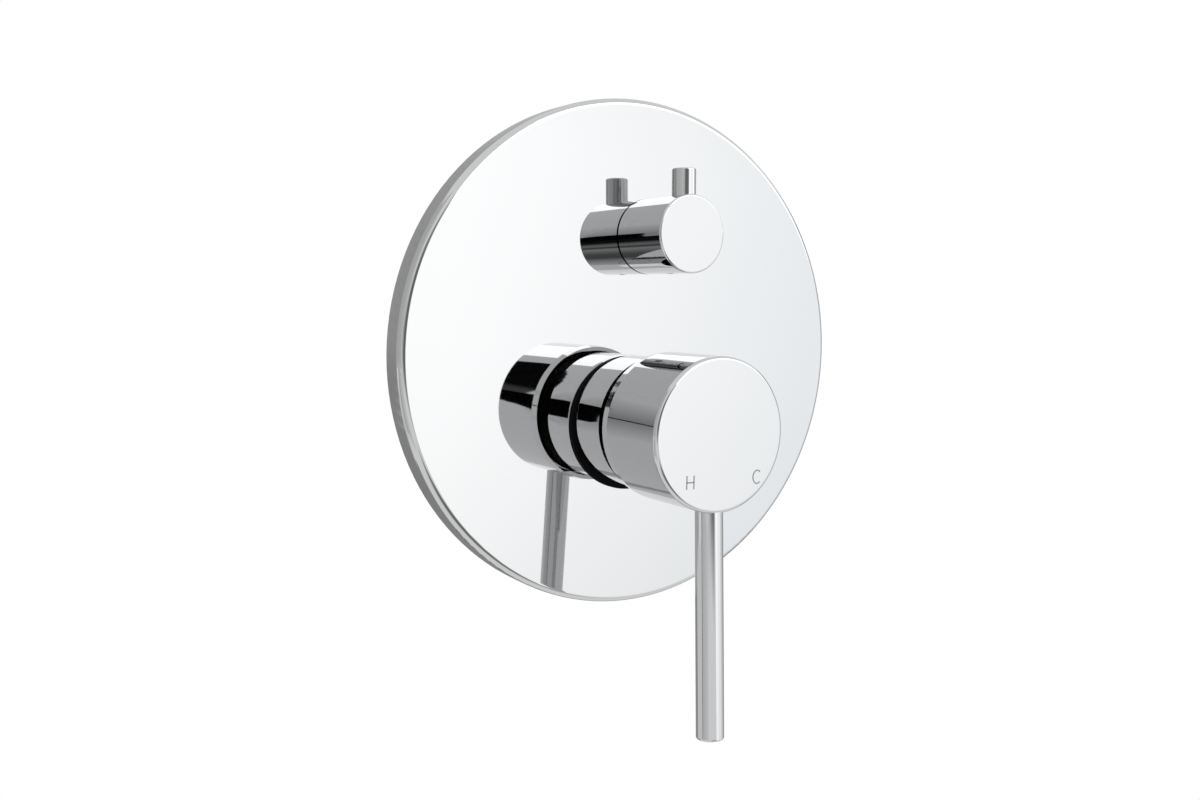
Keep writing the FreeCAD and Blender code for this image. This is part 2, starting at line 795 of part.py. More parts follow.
def make_valve_body():
    mixer_radius = pocket_radius + body_wall
    diverter_outside = bonnet_thread_radius + diverter_body_wall
    body = rod(mixer_radius, body_back, -body_front_setback, mixer_z)
    diverter_top = outlet_reach - diverter_z
    bottom_reach = outlet_reach + mixer_z
    web_low = mixer_z - bottom_reach + port_bore_depth
    pieces = [
        rod(neck_radius, -body_front_setback, neck_front, mixer_z),
        rod(diverter_outside, body_back, bonnet_seat, diverter_z),
        body_web(web_low),
        lug_bar(),
    ]
    pieces += port_boss(left, mixer_z, inlet_half_span)
    pieces += port_boss(right, mixer_z, inlet_half_span)
    pieces += port_boss(up, diverter_z, diverter_top)
    pieces += port_boss(down, mixer_z, bottom_reach)
    body = body.fuse(pieces)
    cuts = [
        rod(pocket_radius, floor_height, neck_front + through, mixer_z),
        rod(nut_thread_radius, shoulder_height, neck_front + through, mixer_z),
        rod(diverter_pocket_radius, floor_height, bonnet_seat + through, diverter_z),
        rod(bonnet_thread_radius, diverter_shoulder, bonnet_seat + through, diverter_z),
        port_bore(left, mixer_z, inlet_half_span),
        port_bore(right, mixer_z, inlet_half_span),
        port_bore(up, diverter_z, diverter_top),
        port_bore(down, mixer_z, bottom_reach),
    ]
    lug_front = body_back + lug_thickness
    hole_radius = lug_hole_diameter / 2
    for side in (-1, 1):
        hole_x = side * lug_span / 2
        cuts.append(rod(hole_radius, body_back - through, lug_front + through, lug_height, hole_x))
    return body.cut(cuts + water_channels()).removeSplitter()


still_pieces = {
    "face_plate": make_face_plate,
    "plate_gasket": make_plate_gasket,
    "mixer_sleeve": make_mixer_sleeve,
    "sleeve_seal": make_sleeve_seal,
    "cartridge_housing": make_cartridge_housing,
    "cartridge_base": make_cartridge_base,
    "base_seals": make_base_seals,
    "fixed_disc": make_fixed_disc,
    "cartridge_nut": make_cartridge_nut,
    "diverter_fixed_disc": make_diverter_fixed_disc,
    "diverter_seals": make_diverter_seals,
    "diverter_housing": make_diverter_housing,
    "bonnet_nut": make_bonnet_nut,
    "diverter_collar": make_diverter_collar,
    "collar_seal": make_collar_seal,
    "valve_body": make_valve_body,
}
handle_pieces = {
    "handle_head": make_handle_head,
    "handle_lever": make_handle_lever,
    "handle_set_screw": make_handle_set_screw,
    "lever_stem": make_lever_stem,
    "pivot_pin": make_pivot_pin,
    "carrier": make_carrier,
    "moving_disc": make_moving_disc,
    "disc_slider": make_disc_slider,
}
knob_pieces = {
    "diverter_knob": make_diverter_knob,
    "knob_pin": make_knob_pin,
    "knob_set_screw": make_knob_set_screw,
    "diverter_spindle": make_diverter_spindle,
    "spindle_o_ring": make_spindle_o_ring,
    "diverter_moving_disc": make_diverter_moving_disc,
}

os.makedirs("parts", exist_ok=True)
keep(still_pieces, 0.0, mixer_z)
keep(handle_pieces, handle_swing, mixer_z)
keep(knob_pieces, knob_swing, diverter_z)
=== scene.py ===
# %% [markdown]
# # A concealed shower mixer with a diverter
# The object is a round chromed wall plate with a lever handle, a small diverter knob and the
# brass valve body that a wall would hide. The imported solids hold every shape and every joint,
# so this lesson adds what they lack: the finishes, the fine threads in the ports, the two
# letters on the handle, and a small studio whose cards give polished metal something to show.

# %% Load the frame
import json
import math

import bmesh
import bpy
from mathutils import Matrix, Vector


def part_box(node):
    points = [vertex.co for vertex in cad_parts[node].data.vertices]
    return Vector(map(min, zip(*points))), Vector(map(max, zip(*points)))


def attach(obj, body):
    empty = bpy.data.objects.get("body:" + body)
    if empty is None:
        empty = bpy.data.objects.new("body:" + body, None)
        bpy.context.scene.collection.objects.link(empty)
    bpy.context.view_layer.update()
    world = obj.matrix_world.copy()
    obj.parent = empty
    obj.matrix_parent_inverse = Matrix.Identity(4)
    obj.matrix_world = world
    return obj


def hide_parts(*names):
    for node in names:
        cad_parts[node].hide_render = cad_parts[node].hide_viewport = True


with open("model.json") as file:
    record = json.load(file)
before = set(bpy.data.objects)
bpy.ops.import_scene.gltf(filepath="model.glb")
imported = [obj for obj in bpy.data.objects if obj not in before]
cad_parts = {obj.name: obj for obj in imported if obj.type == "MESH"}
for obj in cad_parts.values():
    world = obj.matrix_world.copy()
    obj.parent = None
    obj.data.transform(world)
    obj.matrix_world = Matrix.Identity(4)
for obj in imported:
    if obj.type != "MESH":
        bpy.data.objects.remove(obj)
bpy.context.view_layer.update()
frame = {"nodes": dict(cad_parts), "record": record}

MM = 0.001

# %% [markdown]
# ## Node maths as Python
# A finish is a small node tree. Written node by node it is long and hard to read, so one class
# wraps a socket: adding or multiplying two of them adds the Math node, and every other node
# comes from the method `node`, which takes its type, its settings and its inputs.


# %% One class for sockets
class Wire:
    """A socket of a node tree that can be used in sums; without a socket it only adds nodes."""

    def __init__(self, tree, socket=None):
        self.tree = tree
        self.socket = socket

    def node(self, kind, settings=None, output=0, **values):
        made = self.tree.nodes.new(kind)
        for name, value in (settings or {}).items():
            if name == "stops":
                set_stops(made.color_ramp, value)
            else:
                setattr(made, name, value)
        for name, value in values.items():
            self.feed(made.inputs[SOCKET_NAMES.get(name, name)], value)
        return Wire(self.tree, made.outputs[output])

    def feed(self, socket, value):
        if isinstance(value, Wire):
            self.tree.links.new(value.socket, socket)
        else:
            socket.default_value = value

    def math(self, operation, *values):
        made = self.tree.nodes.new("ShaderNodeMath")
        made.operation = operation
        for socket, value in zip(made.inputs, values):
            self.feed(socket, value)
        return Wire(self.tree, made.outputs[0])

    def __add__(self, other):
        return self.math("ADD", self, other)

    def __radd__(self, other):
        return self.math("ADD", other, self)

    def __sub__(self, other):
        return self.math("SUBTRACT", self, other)

    def __rsub__(self, other):
        return self.math("SUBTRACT", other, self)

    def __mul__(self, other):
        return self.math("MULTIPLY", self, other)

    def __rmul__(self, other):
        return self.math("MULTIPLY", other, self)

    def __gt__(self, other):
        return self.math("GREATER_THAN", self, other)

    def __lt__(self, other):
        return self.math("LESS_THAN", self, other)

    def __abs__(self):
        return self.math("ABSOLUTE", self)

    def __or__(self, other):
        return self.math("MAXIMUM", self, other)


SOCKET_NAMES = {"from_min": "From Min", "from_max": "From Max"}


def set_stops(ramp, stops):
    """Give a colour ramp its (place, colour) stops."""
    while len(ramp.elements) < len(stops):
        ramp.elements.new(1.0)
    for element, (place, colour) in zip(ramp.elements, stops):
        element.position = place
        element.color = (*colour, 1.0)


print("sockets wrapped")

# %% [markdown]
# ## Small helpers for finishes
# All patterns are read from Object coordinates in metres, so they stay on a piece when it moves.
# A constant goes straight onto the shader's own socket, and only what varies is wired.


# %% Helpers for finishes
def new_finish(name, **constants):
    """A material with its Principled shader, whose constant sockets are set by name."""
    material = bpy.data.materials.new(name)
    material.use_nodes = True
    shader = material.node_tree.nodes["Principled BSDF"]
    for socket, value in constants.items():
        shader.inputs[socket.replace("_", " ")].default_value = value
    return material, shader, Wire(material.node_tree)


def place_on_piece(board):
    return board.node("ShaderNodeTexCoord", output="Object")


def stretched(board, place, scale):
    return board.node("ShaderNodeMapping", Vector=place, Scale=scale)


def noise(board, place, scale, detail=3.0):
    return board.node("ShaderNodeTexNoise", Vector=place, Scale=scale, Detail=detail)


def tint(board, share, first, second):
    """A colour between two, by a share from 0 to 1."""
    return board.node("ShaderNodeValToRGB", {"stops": [(0.0, first), (1.0, second)]}, Fac=share)


def bump(board, height, strength, distance):
    return board.node("ShaderNodeBump", Height=height, Strength=strength, Distance=distance)


def axes(board, place):
    """The three coordinates of a place as wires."""
    made = board.node("ShaderNodeSeparateXYZ", Vector=place)
    return [Wire(board.tree, socket) for socket in made.socket.node.outputs]


print("finish helpers ready")

# %% [markdown]
# ## Polished chrome
# Chrome plate is a mirror with a trace of haze. A perfect mirror looks like a computer picture,
# so the roughness drifts a little over the surface, and turned pieces keep very fine rings from
# the polishing lathe. The wall plate is pressed, so its inside is duller than its face. The hollow
# of the handle's deep cup is painted nearly black as painted shade, and is rougher.

# %% Chrome finishes
CHROME = (0.56, 0.565, 0.57)
DULL_CHROME = (0.42, 0.42, 0.43)
# painted shade: the nearly black colour given to the hollow of the handle's cup
HOLLOW_SHADE = (0.06, 0.055, 0.05)
mirror_roughness = 0.012
hollow_roughness = 0.45
ring_stretch = (12.0, 2600.0, 12.0)
ring_depth = 0.001 * MM


def polished_chrome(name, rings=True, roughness=mirror_roughness, hollow=None):
    """Mirror plating; a hollow, given by its axis, radius and front, is painted dark as shade and
    made rougher.
    """
    material, shader, board = new_finish(name, Metallic=1.0, Base_Color=(*CHROME, 1.0))
    place = place_on_piece(board)
    haze = noise(board, place, scale=70.0) * 0.03
    dullness = roughness + haze
    if hollow:
        axis_z, hollow_radius, front_y = hollow
        x, y, z = axes(board, place)
        height = z - axis_z
        reach = board.math("SQRT", x * x + height * height)
        inside = (reach < hollow_radius) * (y > front_y)
        # the cup's hollow gets painted shade, a nearly black base colour, and more roughness
        board.feed(shader.inputs["Base Color"], tint(board, inside, CHROME, HOLLOW_SHADE))
        dullness = dullness + inside * hollow_roughness
    board.feed(shader.inputs["Roughness"], dullness)
    if rings:
        turning = noise(board, stretched(board, place, ring_stretch), scale=1.0)
        board.feed(shader.inputs["Normal"], bump(board, turning, strength=0.25, distance=ring_depth))
    return material


def plate_chrome(name, inside_y):
    """Mirror plating on the face, and dull drawn metal inside the pan."""
    material, shader, board = new_finish(name, Metallic=1.0)
    place = place_on_piece(board)
    inside = axes(board, place)[1] > inside_y
    haze = noise(board, place, scale=45.0) * 0.025
    drawn = 0.22 + noise(board, place, scale=900.0) * 0.12
    board.feed(shader.inputs["Roughness"], mirror_roughness + haze + inside * drawn)
    board.feed(shader.inputs["Base Color"], tint(board, inside, CHROME, DULL_CHROME))
    return material


plate_low, plate_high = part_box("face_plate")
plate_wall = 2.0 * MM
head_low, head_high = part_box("handle_head")
head_axis_z = (head_low.z + head_high.z) / 2
head_wall = 1.8 * MM
head_front = 3.0 * MM
nearly = 0.95  # of a wall's thickness, so that the wall's inner face counts as inside
head_hollow = (head_axis_z, head_high.x - nearly * head_wall, head_low.y + head_front)
finishes = {
    "face_plate": plate_chrome("pressed chrome plate", plate_low.y + nearly * plate_wall),
    "turned": polished_chrome("turned chrome"),
    "drawn": polished_chrome("drawn chrome rod", rings=False, roughness=0.06),
    # the cup's finish carries painted shade in its hollow
    "handle_head": polished_chrome("turned chrome cup with painted shade", hollow=head_hollow),
}
print("chrome finishes:", sorted(finishes))

# %% [markdown]
# ## Brass and steel
# The body is a sand casting: dull, slightly uneven in colour and grainy, but bright where a
# cutter faced the ports, the neck and the back. The nuts and the spindle are turned from bar and
# show rings. Steel pins and screws are plain and grey.

# %% Brass and steel finishes
faced_roughness = 0.24


def cast_brass(name, neck_y, back_y, side_x, end_z):
    """Grainy casting, smooth past the planes that a cutter faced."""
    material, shader, board = new_finish(name, Metallic=1.0)
    place = place_on_piece(board)
    x, y, z = axes(board, place)
    machined = (abs(x) > side_x) | (abs(z) > end_z) | (y < neck_y) | (y > back_y)
    skin = 1.0 - machined
    grain = noise(board, place, scale=900.0, detail=5.0)
    patches = noise(board, place, scale=60.0, detail=4.0)
    colour = tint(board, patches, (0.50, 0.33, 0.13), (0.78, 0.58, 0.28))
    board.feed(shader.inputs["Base Color"], colour)
    board.feed(shader.inputs["Roughness"], faced_roughness + skin * (0.14 + patches * 0.16))
    board.feed(shader.inputs["Normal"], bump(board, grain * skin, strength=0.35, distance=0.25 * MM))
    return material


def turned_metal(name, dark, light, roughness, stretch):
    """Bar stock with the rings or the grain that the stretch of its noise gives."""
    material, shader, board = new_finish(name, Metallic=1.0)
    rings = noise(board, stretched(board, place_on_piece(board), stretch), scale=1.0)
    board.feed(shader.inputs["Base Color"], tint(board, rings, dark, light))
    board.feed(shader.inputs["Roughness"], roughness + rings * 0.12)
    board.feed(shader.inputs["Normal"], bump(board, rings, strength=0.3, distance=0.02 * MM))
    return material


body_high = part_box("valve_body")[1]
neck_face = -15.0 * MM
skim = 0.3 * MM
finishes["cast_brass"] = cast_brass(
    "cast brass", neck_face, body_high.y - skim, body_high.x - skim, body_high.z - skim
)
finishes["turned_brass"] = turned_metal(
    "turned brass", (0.62, 0.43, 0.18), (0.86, 0.66, 0.34),
    roughness=0.16, stretch=(30.0, 2400.0, 30.0),
)
finishes["machined_steel"] = turned_metal(
    "machined steel", (0.36, 0.36, 0.37), (0.62, 0.62, 0.63),
    roughness=0.2, stretch=(700.0, 700.0, 700.0),
)
print("brass and steel finishes added")

# %% [markdown]
# ## Rubber, foam, plastic and ceramic
# Seals are moulded rubber, nearly black with a soft sheen. The gasket is closed-cell foam, so its
# bump comes from a cell pattern. The cartridge is moulded plastic, and the discs are lapped
# ceramic, smooth with a faint speckle.


# %% Finishes that are not metal
def moulded(name, dark, light, roughness, grain_scale, grain_depth, shine=0.5):
    material, shader, board = new_finish(name, Specular_IOR_Level=shine)
    place = place_on_piece(board)
    cloud = noise(board, place, scale=120.0)
    grain = noise(board, place, scale=grain_scale, detail=4.0)
    board.feed(shader.inputs["Base Color"], tint(board, cloud, dark, light))
    board.feed(shader.inputs["Roughness"], roughness + grain * 0.14)
    board.feed(shader.inputs["Normal"], bump(board, grain, strength=0.3, distance=grain_depth))
    return material


def foam(name):
    material, shader, board = new_finish(name)
    cells = board.node("ShaderNodeTexVoronoi", Vector=place_on_piece(board), Scale=1500.0)
    colour = tint(board, cells, (0.16, 0.16, 0.17), (0.42, 0.42, 0.44))
    board.feed(shader.inputs["Base Color"], colour)
    board.feed(shader.inputs["Roughness"], 0.8 + cells * 0.15)
    board.feed(shader.inputs["Normal"], bump(board, 1.0 - cells, strength=0.5, distance=0.3 * MM))
    return material


finishes["black_rubber"] = moulded(
    "black rubber", (0.003, 0.003, 0.0035), (0.008, 0.008, 0.009),
    roughness=0.5, grain_scale=1800.0, grain_depth=0.04 * MM, shine=0.02,
)
finishes["white_plastic"] = moulded(
    "white plastic", (0.72, 0.72, 0.70), (0.84, 0.84, 0.82),
    roughness=0.35, grain_scale=1200.0, grain_depth=0.03 * MM,
)
finishes["grey_plastic"] = moulded(
    "grey plastic", (0.18, 0.19, 0.2), (0.28, 0.29, 0.31),
    roughness=0.35, grain_scale=1200.0, grain_depth=0.03 * MM,
)
finishes["white_ceramic"] = moulded(
    "white ceramic", (0.80, 0.79, 0.76), (0.9, 0.89, 0.86),
    roughness=0.12, grain_scale=3000.0, grain_depth=0.006 * MM,
)
finishes["grey_foam"] = foam("grey foam")
print("finishes in all:", len(finishes))

# %% [markdown]
# ## Dress the solids
# The record names a material slot for each solid. Chrome pieces are told apart by how they were
# made: the plate was pressed, the handle's head is a turned cup, the lever and the pin are drawn
# rod, and the rest is turned.

# %% Give each solid its finish
chrome_kinds = {
    "face_plate": "face_plate", "handle_head": "handle_head",
    "handle_lever": "drawn", "knob_pin": "drawn",
}
slot_of = {part["node"]: part["material_slot"] for part in frame["record"]["subparts"]}
for node_name, slot_name in slot_of.items():
    kind = chrome_kinds.get(node_name, "turned") if slot_name == "polished_chrome" else slot_name
    for material_slot in frame["nodes"][node_name].material_slots:
        material_slot.material = finishes[kind]
print("dressed:", len(slot_of))

# %% [markdown]
# ## The sleeve and its seal
# The trim sleeve's outer wall comes in by a millimetre, so that from the front its rim hides
# behind the handle's rim. Its rubber seal comes in too, and sags a little on the neck instead of
# lying true, as on the real mixer. Only the outer wall moves, so the bores keep their fit.

# %% Draw in a ring's outer wall
ring_half_wall = 1.5 * MM
ring_fits = {"mixer_sleeve": (1.0 * MM, 0.0), "sleeve_seal": (1.3 * MM, 1.1 * MM)}


def draw_in(worked, node_name, trim, sag):
    """Bring the outer wall of a ring in towards its axis, and let it sag."""
    low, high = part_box(node_name)
    middle_z = (low.z + high.z) / 2
    outer_wall = high.x - ring_half_wall
    for vertex in worked.verts:
        reach = math.hypot(vertex.co.x, vertex.co.z - middle_z)
        if reach > outer_wall:
            share = (reach - trim) / reach
            vertex.co.x *= share
            vertex.co.z = middle_z + (vertex.co.z - middle_z) * share - sag


print("rings to draw in:", sorted(ring_fits))

# %% [markdown]
# ## The plate's rolled edge
# The plate is one large mirror with a narrow rolled edge, and estimated normals tear the bright
# line along that edge. The true shape is known, so each corner of each face gets its exact normal:
# flat on the face, round on the wall, and on the roll straight away from the circle at its centre.

# %% Exact normals for the plate
plate_roll = 2.3 * MM
least_outward = 0.01


def rolled_normals(mesh, low, high):
    """A normal for each corner of the plate: flats flat, walls round, the rolled edge even."""
    roll_reach = high.x - plate_roll
    roll_y = low.y + plate_roll
    normals = []
    for polygon in mesh.polygons:
        middle = math.hypot(polygon.center.x, polygon.center.z)
        for loop_index in polygon.loop_indices:
            spot = mesh.vertices[mesh.loops[loop_index].vertex_index].co
            outward = Vector((spot.x, 0.0, spot.z)).normalized()
            normal = polygon.normal.copy()
            if middle > roll_reach and polygon.normal.dot(outward) > least_outward:
                centre = outward * roll_reach + Vector((0.0, roll_y, 0.0))
                normal = (spot - centre).normalized() if spot.y < roll_y else outward
            normals.append(normal)
    return normals


print("rolled edge in mm:", round(plate_roll / MM, 1))

# %% [markdown]
# ## Smooth mirrors
# A mirror shows the smallest dent in the shading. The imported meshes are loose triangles, so each
# chromed solid gets a copy whose doubles are merged and whose flat triangles are joined. Edges
# between faces that meet at a corner stay sharp, and so does the faint ring where the handle's
# rim begins to taper. Weighted normals keep the flats truly flat beside a rounded edge.

# %% Smooth copies of the chromed solids
corner_angle = math.radians(35)
flat_angle = math.radians(0.2)
weld_distance = 0.002 * MM
head_taper = 3.3 * MM
crisp_rings = {"handle_head": head_high.y - head_taper}
ring_slack = 0.05 * MM


def smooth_copy(node_name, body_name):
    """A merged copy of a solid's mesh with even shading, shown in its place."""
    mesh = frame["nodes"][node_name].data.copy()
    worked = bmesh.new()
    worked.from_mesh(mesh)
    bmesh.ops.remove_doubles(worked, verts=worked.verts, dist=weld_distance)
    if node_name in ring_fits:
        draw_in(worked, node_name, *ring_fits[node_name])
    bmesh.ops.dissolve_limit(worked, angle_limit=flat_angle, verts=worked.verts, edges=worked.edges)
    crisp_y = crisp_rings.get(node_name)
    for edge in worked.edges:
        edge.smooth = len(edge.link_faces) == 2 and edge.calc_face_angle() < corner_angle
        if crisp_y and all(abs(v.co.y - crisp_y) < ring_slack for v in edge.verts):
            edge.smooth = False
    for face in worked.faces:
        face.smooth = True
    worked.to_mesh(mesh)
    worked.free()
    if "custom_normal" in mesh.attributes:
        mesh.attributes.remove(mesh.attributes["custom_normal"])
    piece = bpy.data.objects.new(node_name + "_mirror", mesh)
    bpy.context.scene.collection.objects.link(piece)
    if node_name == "face_plate":
        mesh.normals_split_custom_set(rolled_normals(mesh, plate_low, plate_high))
    else:
        evening = piece.modifiers.new("even shading", "WEIGHTED_NORMAL")
        evening.keep_sharp = True
        evening.weight = 100
    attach(piece, body_name)
    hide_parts(node_name)
    return piece


for body_name, node_names in frame["record"]["behaviour"]["bodies"].items():
    for node_name in node_names:
        if slot_of[node_name] == "polished_chrome" or node_name in ring_fits:
            print(node_name, "polygons:", len(smooth_copy(node_name, body_name).data.polygons))

# %% [markdown]
# ## Sweeping a section with Geometry Nodes
# Threads and letter strokes are both a small section that follows a path, so both come from a
# tree that sweeps one. These helpers open a tree, add its named inputs, close it with Realize
# Instances and Set Material, and bake the result to a plain mesh. An input is set on the modifier
# by the socket's identifier.


# %% Helpers for the sweeps
def new_tree(name, *labels):
    """A tree with named sizes; gives the tree, a board, its geometry and the wires of the sizes."""
    tree = bpy.data.node_groups.new(name, "GeometryNodeTree")
    tree.interface.new_socket("Geometry", in_out="OUTPUT", socket_type="NodeSocketGeometry")
    tree.interface.new_socket("Geometry", in_out="INPUT", socket_type="NodeSocketGeometry")
    for label in labels:
        tree.interface.new_socket(label, in_out="INPUT", socket_type="NodeSocketFloat")
    given = tree.nodes.new("NodeGroupInput")
    wires = [Wire(tree, given.outputs[label]) for label in ("Geometry", *labels)]
    return tree, Wire(tree), *wires


def close_tree(tree, board, geometry, material):
    whole = board.node("GeometryNodeRealizeInstances", Geometry=geometry)
    painted = board.node("GeometryNodeSetMaterial", Geometry=whole, Material=material)
    result = tree.nodes.new("NodeGroupOutput")
    tree.links.new(painted.socket, result.inputs[0])


def bake(name, source, tree, inputs):
    """Run a tree on an object and keep the result as a plain mesh at the origin."""
    modifier = source.modifiers.new("tree", "NODES")
    modifier.node_group = tree
    for item in tree.interface.items_tree:
        if item.name in inputs:
            modifier[item.identifier] = inputs[item.name]
    bpy.context.scene.collection.objects.link(source)
    graph = bpy.context.evaluated_depsgraph_get()
    mesh = bpy.data.meshes.new_from_object(source.evaluated_get(graph), depsgraph=graph)
    bpy.data.objects.remove(source)
    piece = bpy.data.objects.new(name, mesh)
    bpy.context.scene.collection.objects.link(piece)
    return piece


print("sweep helpers ready")

# %% [markdown]
# ## Seats for the threads
# The four ports take half inch pipe. Each thread starts at the bottom of its bore and runs out
# towards the mouth. The places where they start are the points of a small mesh, and an attribute
# on each point says which way its port looks.

# %% Find the ports
ports = [m for m in frame["record"]["mounts"] if m["kind"] == "threaded_hole"]
bore_radius = ports[0]["dims"]["r_mm"] * MM
bore_length = ports[0]["dims"]["length_mm"] * MM
seat_points = []
for port in ports:
    axis = Vector(port["axis"])
    mouth = body_high.x if abs(axis.x) > abs(axis.z) else body_high.z
    centre = Vector(port["pos_m"])
    depth = mouth - bore_length - centre.dot(axis)
    seat_points.append(centre + axis * depth)

seats = bpy.data.meshes.new("port seats")
seats.from_pydata(seat_points, [], [])
outlook = seats.attributes.new("outlook", "FLOAT_VECTOR", "POINT")
for item, port in zip(outlook.data, ports):
    item.vector = port["axis"]
print("ports:", len(ports))

# %% [markdown]
# ## Port threads
# Fourteen threads to the inch is a pitch of 1.814 mm. The tree makes one helix, sweeps a sharp
# ridge with four corners along it and puts a copy on each seat, turned the way its port looks.
# As real relief the threads are part of the mesh itself, which a bump would not be.

# %% Thread the ports
thread_pitch = 1.814 * MM
ridge_half = 0.62 * MM
steps_per_turn = 48
ridge_corners = 4

thread_tree, board, port_seats, radius, pitch, length, ridge = new_tree(
    "port thread", "Radius", "Pitch", "Length", "Ridge"
)
turns = board.math("DIVIDE", length, pitch)
helix = board.node(
    "GeometryNodeCurveSpiral", Resolution=steps_per_turn, Rotations=turns, Height=length,
    **{"Start Radius": radius, "End Radius": radius, "Reverse": False},
)
upright = board.node("GeometryNodeSetCurveNormal", {"mode": "Z_UP"}, Curve=helix)
section = board.node(
    "GeometryNodeCurvePrimitiveCircle", {"mode": "RADIUS"}, Resolution=ridge_corners, Radius=ridge
)
swept = board.node(
    "GeometryNodeCurveToMesh", Curve=upright, **{"Profile Curve": section, "Fill Caps": True}
)
look = board.node("GeometryNodeInputNamedAttribute", {"data_type": "FLOAT_VECTOR"}, Name="outlook")
turn = board.node("FunctionNodeAlignRotationToVector", {"axis": "Z"}, Vector=look)
copies = board.node(
    "GeometryNodeInstanceOnPoints", Points=port_seats, Instance=swept, Rotation=turn
)
close_tree(thread_tree, board, copies, finishes["turned_brass"])
thread_sizes = {
    "Radius": bore_radius, "Pitch": thread_pitch,
    "Length": bore_length - thread_pitch, "Ridge": ridge_half,
}
threads = bake("port_threads", bpy.data.objects.new("port seats", seats), thread_tree, thread_sizes)
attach(threads, "root")
print("thread triangles:", sum(len(p.vertices) - 2 for p in threads.data.polygons))

# %% [markdown]
# ## The shapes of the letters
# A laser marks an H and a C on the handle's face, below the middle, for hot and cold. The strokes
# are thin and even, so a letter is a few paths: three straight ones for the H and one open arc
# for the C.

# %% Draw the letters
half_height = 2.05 * MM
half_width_h = 1.3 * MM
half_width_c = 1.6 * MM
centre_h = Vector((-10.8, -13.8)) * MM
centre_c = Vector((14.5, -13.3)) * MM

letter_h = [
    [(-half_width_h, -half_height), (-half_width_h, half_height)],
    [(half_width_h, -half_height), (half_width_h, half_height)],
    [(-half_width_h, 0.0), (half_width_h, 0.0)],
]
gap_angle = math.radians(48)
arc_steps = 28
arc = []
for step in range(arc_steps + 1):
    angle = gap_angle + (2 * math.pi - 2 * gap_angle) * step / arc_steps
    arc.append((half_width_c * math.cos(angle), half_height * math.sin(angle)))
letter_c = [arc]


def letter_paths(name, strokes, centre):
    """Paths drawn flat in X and Y, as the stroke tree wants them."""
    curve = bpy.data.curves.new(name, "CURVE")
    curve.dimensions = "3D"
    for stroke in strokes:
        spline = curve.splines.new("POLY")
        spline.points.add(len(stroke) - 1)
        for point, (x, y) in zip(spline.points, stroke):
            point.co = (centre.x + x, centre.y + y, 0.0, 1.0)
    return curve


print("strokes:", len(letter_h) + len(letter_c))

# %% [markdown]
# ## Marking the handle
# A flat section swept along the paths gives strokes that stand a few hundredths of a millimetre
# proud, enough to hide the face below. The handle rests a little off the upright, so the letters
# are swung with it before they are laid on its face.

# %% Mark hot and cold
stroke_width = 0.42 * MM
stroke_lift = 0.04 * MM


def etched(name):
    material, shader, board = new_finish(name, Metallic=0.0)
    speckle = noise(board, place_on_piece(board), scale=5000.0)
    colour = tint(board, speckle, (0.30, 0.265, 0.24), (0.44, 0.40, 0.37))
    board.feed(shader.inputs["Base Color"], colour)
    board.feed(shader.inputs["Roughness"], 0.5 + speckle * 0.2)
    return material


stroke_tree, board, paths, width, height = new_tree("letter stroke", "Width", "Height")
path = board.node("GeometryNodeSetCurveNormal", {"mode": "Z_UP"}, Curve=paths)
section = board.node(
    "GeometryNodeCurvePrimitiveQuadrilateral", {"mode": "RECTANGLE"}, Width=width, Height=height
)
stroke = board.node(
    "GeometryNodeCurveToMesh", Curve=path, **{"Profile Curve": section, "Fill Caps": True}
)
close_tree(stroke_tree, board, stroke, etched("etched mark"))

lift_joint = next(j for j in frame["record"]["behaviour"]["joints"] if j["name"] == "flow_lift")
swing = math.atan2(lift_joint["axis"][2], -lift_joint["axis"][0])
onto_face = (
    Matrix.Translation((0.0, head_low.y, head_axis_z))
    @ Matrix.Rotation(swing, 4, "Y")
    @ Matrix.Rotation(math.pi / 2, 4, "X")
)
for name, strokes, centre in (("hot_mark", letter_h, centre_h), ("cold_mark", letter_c, centre_c)):
    source = bpy.data.objects.new(name + " paths", letter_paths(name, strokes, centre))
    mark = bake(name, source, stroke_tree, {"Width": stroke_width, "Height": 2 * stroke_lift})
    mark.data.transform(onto_face)
    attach(mark, "handle")
    print(name, "polygons:", len(mark.data.polygons))

# %% [markdown]
# ## The camera
# The photograph looks from the left at about 32 degrees and nearly level, from close by. The
# plate is a little turned in the picture, so the camera has a small roll. The focal length is
# given in pixels of a picture 1200 wide, which a 36 mm sensor turns into a lens.

# %% Camera
picture_width = 1200
focal_pixels = 1149.25
sensor_width = 36.0
azimuth, elevation, roll = [math.radians(a) for a in (-31.82, 1.53, 6.39)]
distance = 397.7 * MM
slide_right, slide_up = -6.81 * MM, -16.2 * MM

camera_data = bpy.data.cameras.new("camera")
camera_data.sensor_width = sensor_width
camera_data.lens = focal_pixels / picture_width * sensor_width
camera_data.clip_start = 10 * MM
level_right = Vector((math.cos(azimuth), math.sin(azimuth), 0.0))
level_back = Vector((math.sin(azimuth), -math.cos(azimuth), 0.0))
back = level_back * math.cos(elevation) + Vector((0.0, 0.0, math.sin(elevation)))
level_up = back.cross(level_right)
right = level_right * math.cos(roll) + level_up * math.sin(roll)
upward = level_up * math.cos(roll) - level_right * math.sin(roll)
turned = Matrix((right, upward, back)).transposed().to_4x4()
viewpoint = right * slide_right + upward * slide_up + back * distance
camera = bpy.data.objects.new("camera", camera_data)
camera.matrix_world = Matrix.Translation(viewpoint) @ turned
bpy.context.scene.collection.objects.link(camera)
bpy.context.scene.camera = camera
print("lens:", round(camera_data.lens, 2))

# %% [markdown]
# ## The studio
# Polished metal shows the room, so the room is most of the look. It is white all round, as the
# backdrop is, with flat cards that only reflections can see. They are stage, not object, and cast
# no light on dull surfaces. A card can also ask Light Path how many mirrors the light has met, so
# that it shows in the plate's image of the handle and not in the plate itself, or the other way
# round.


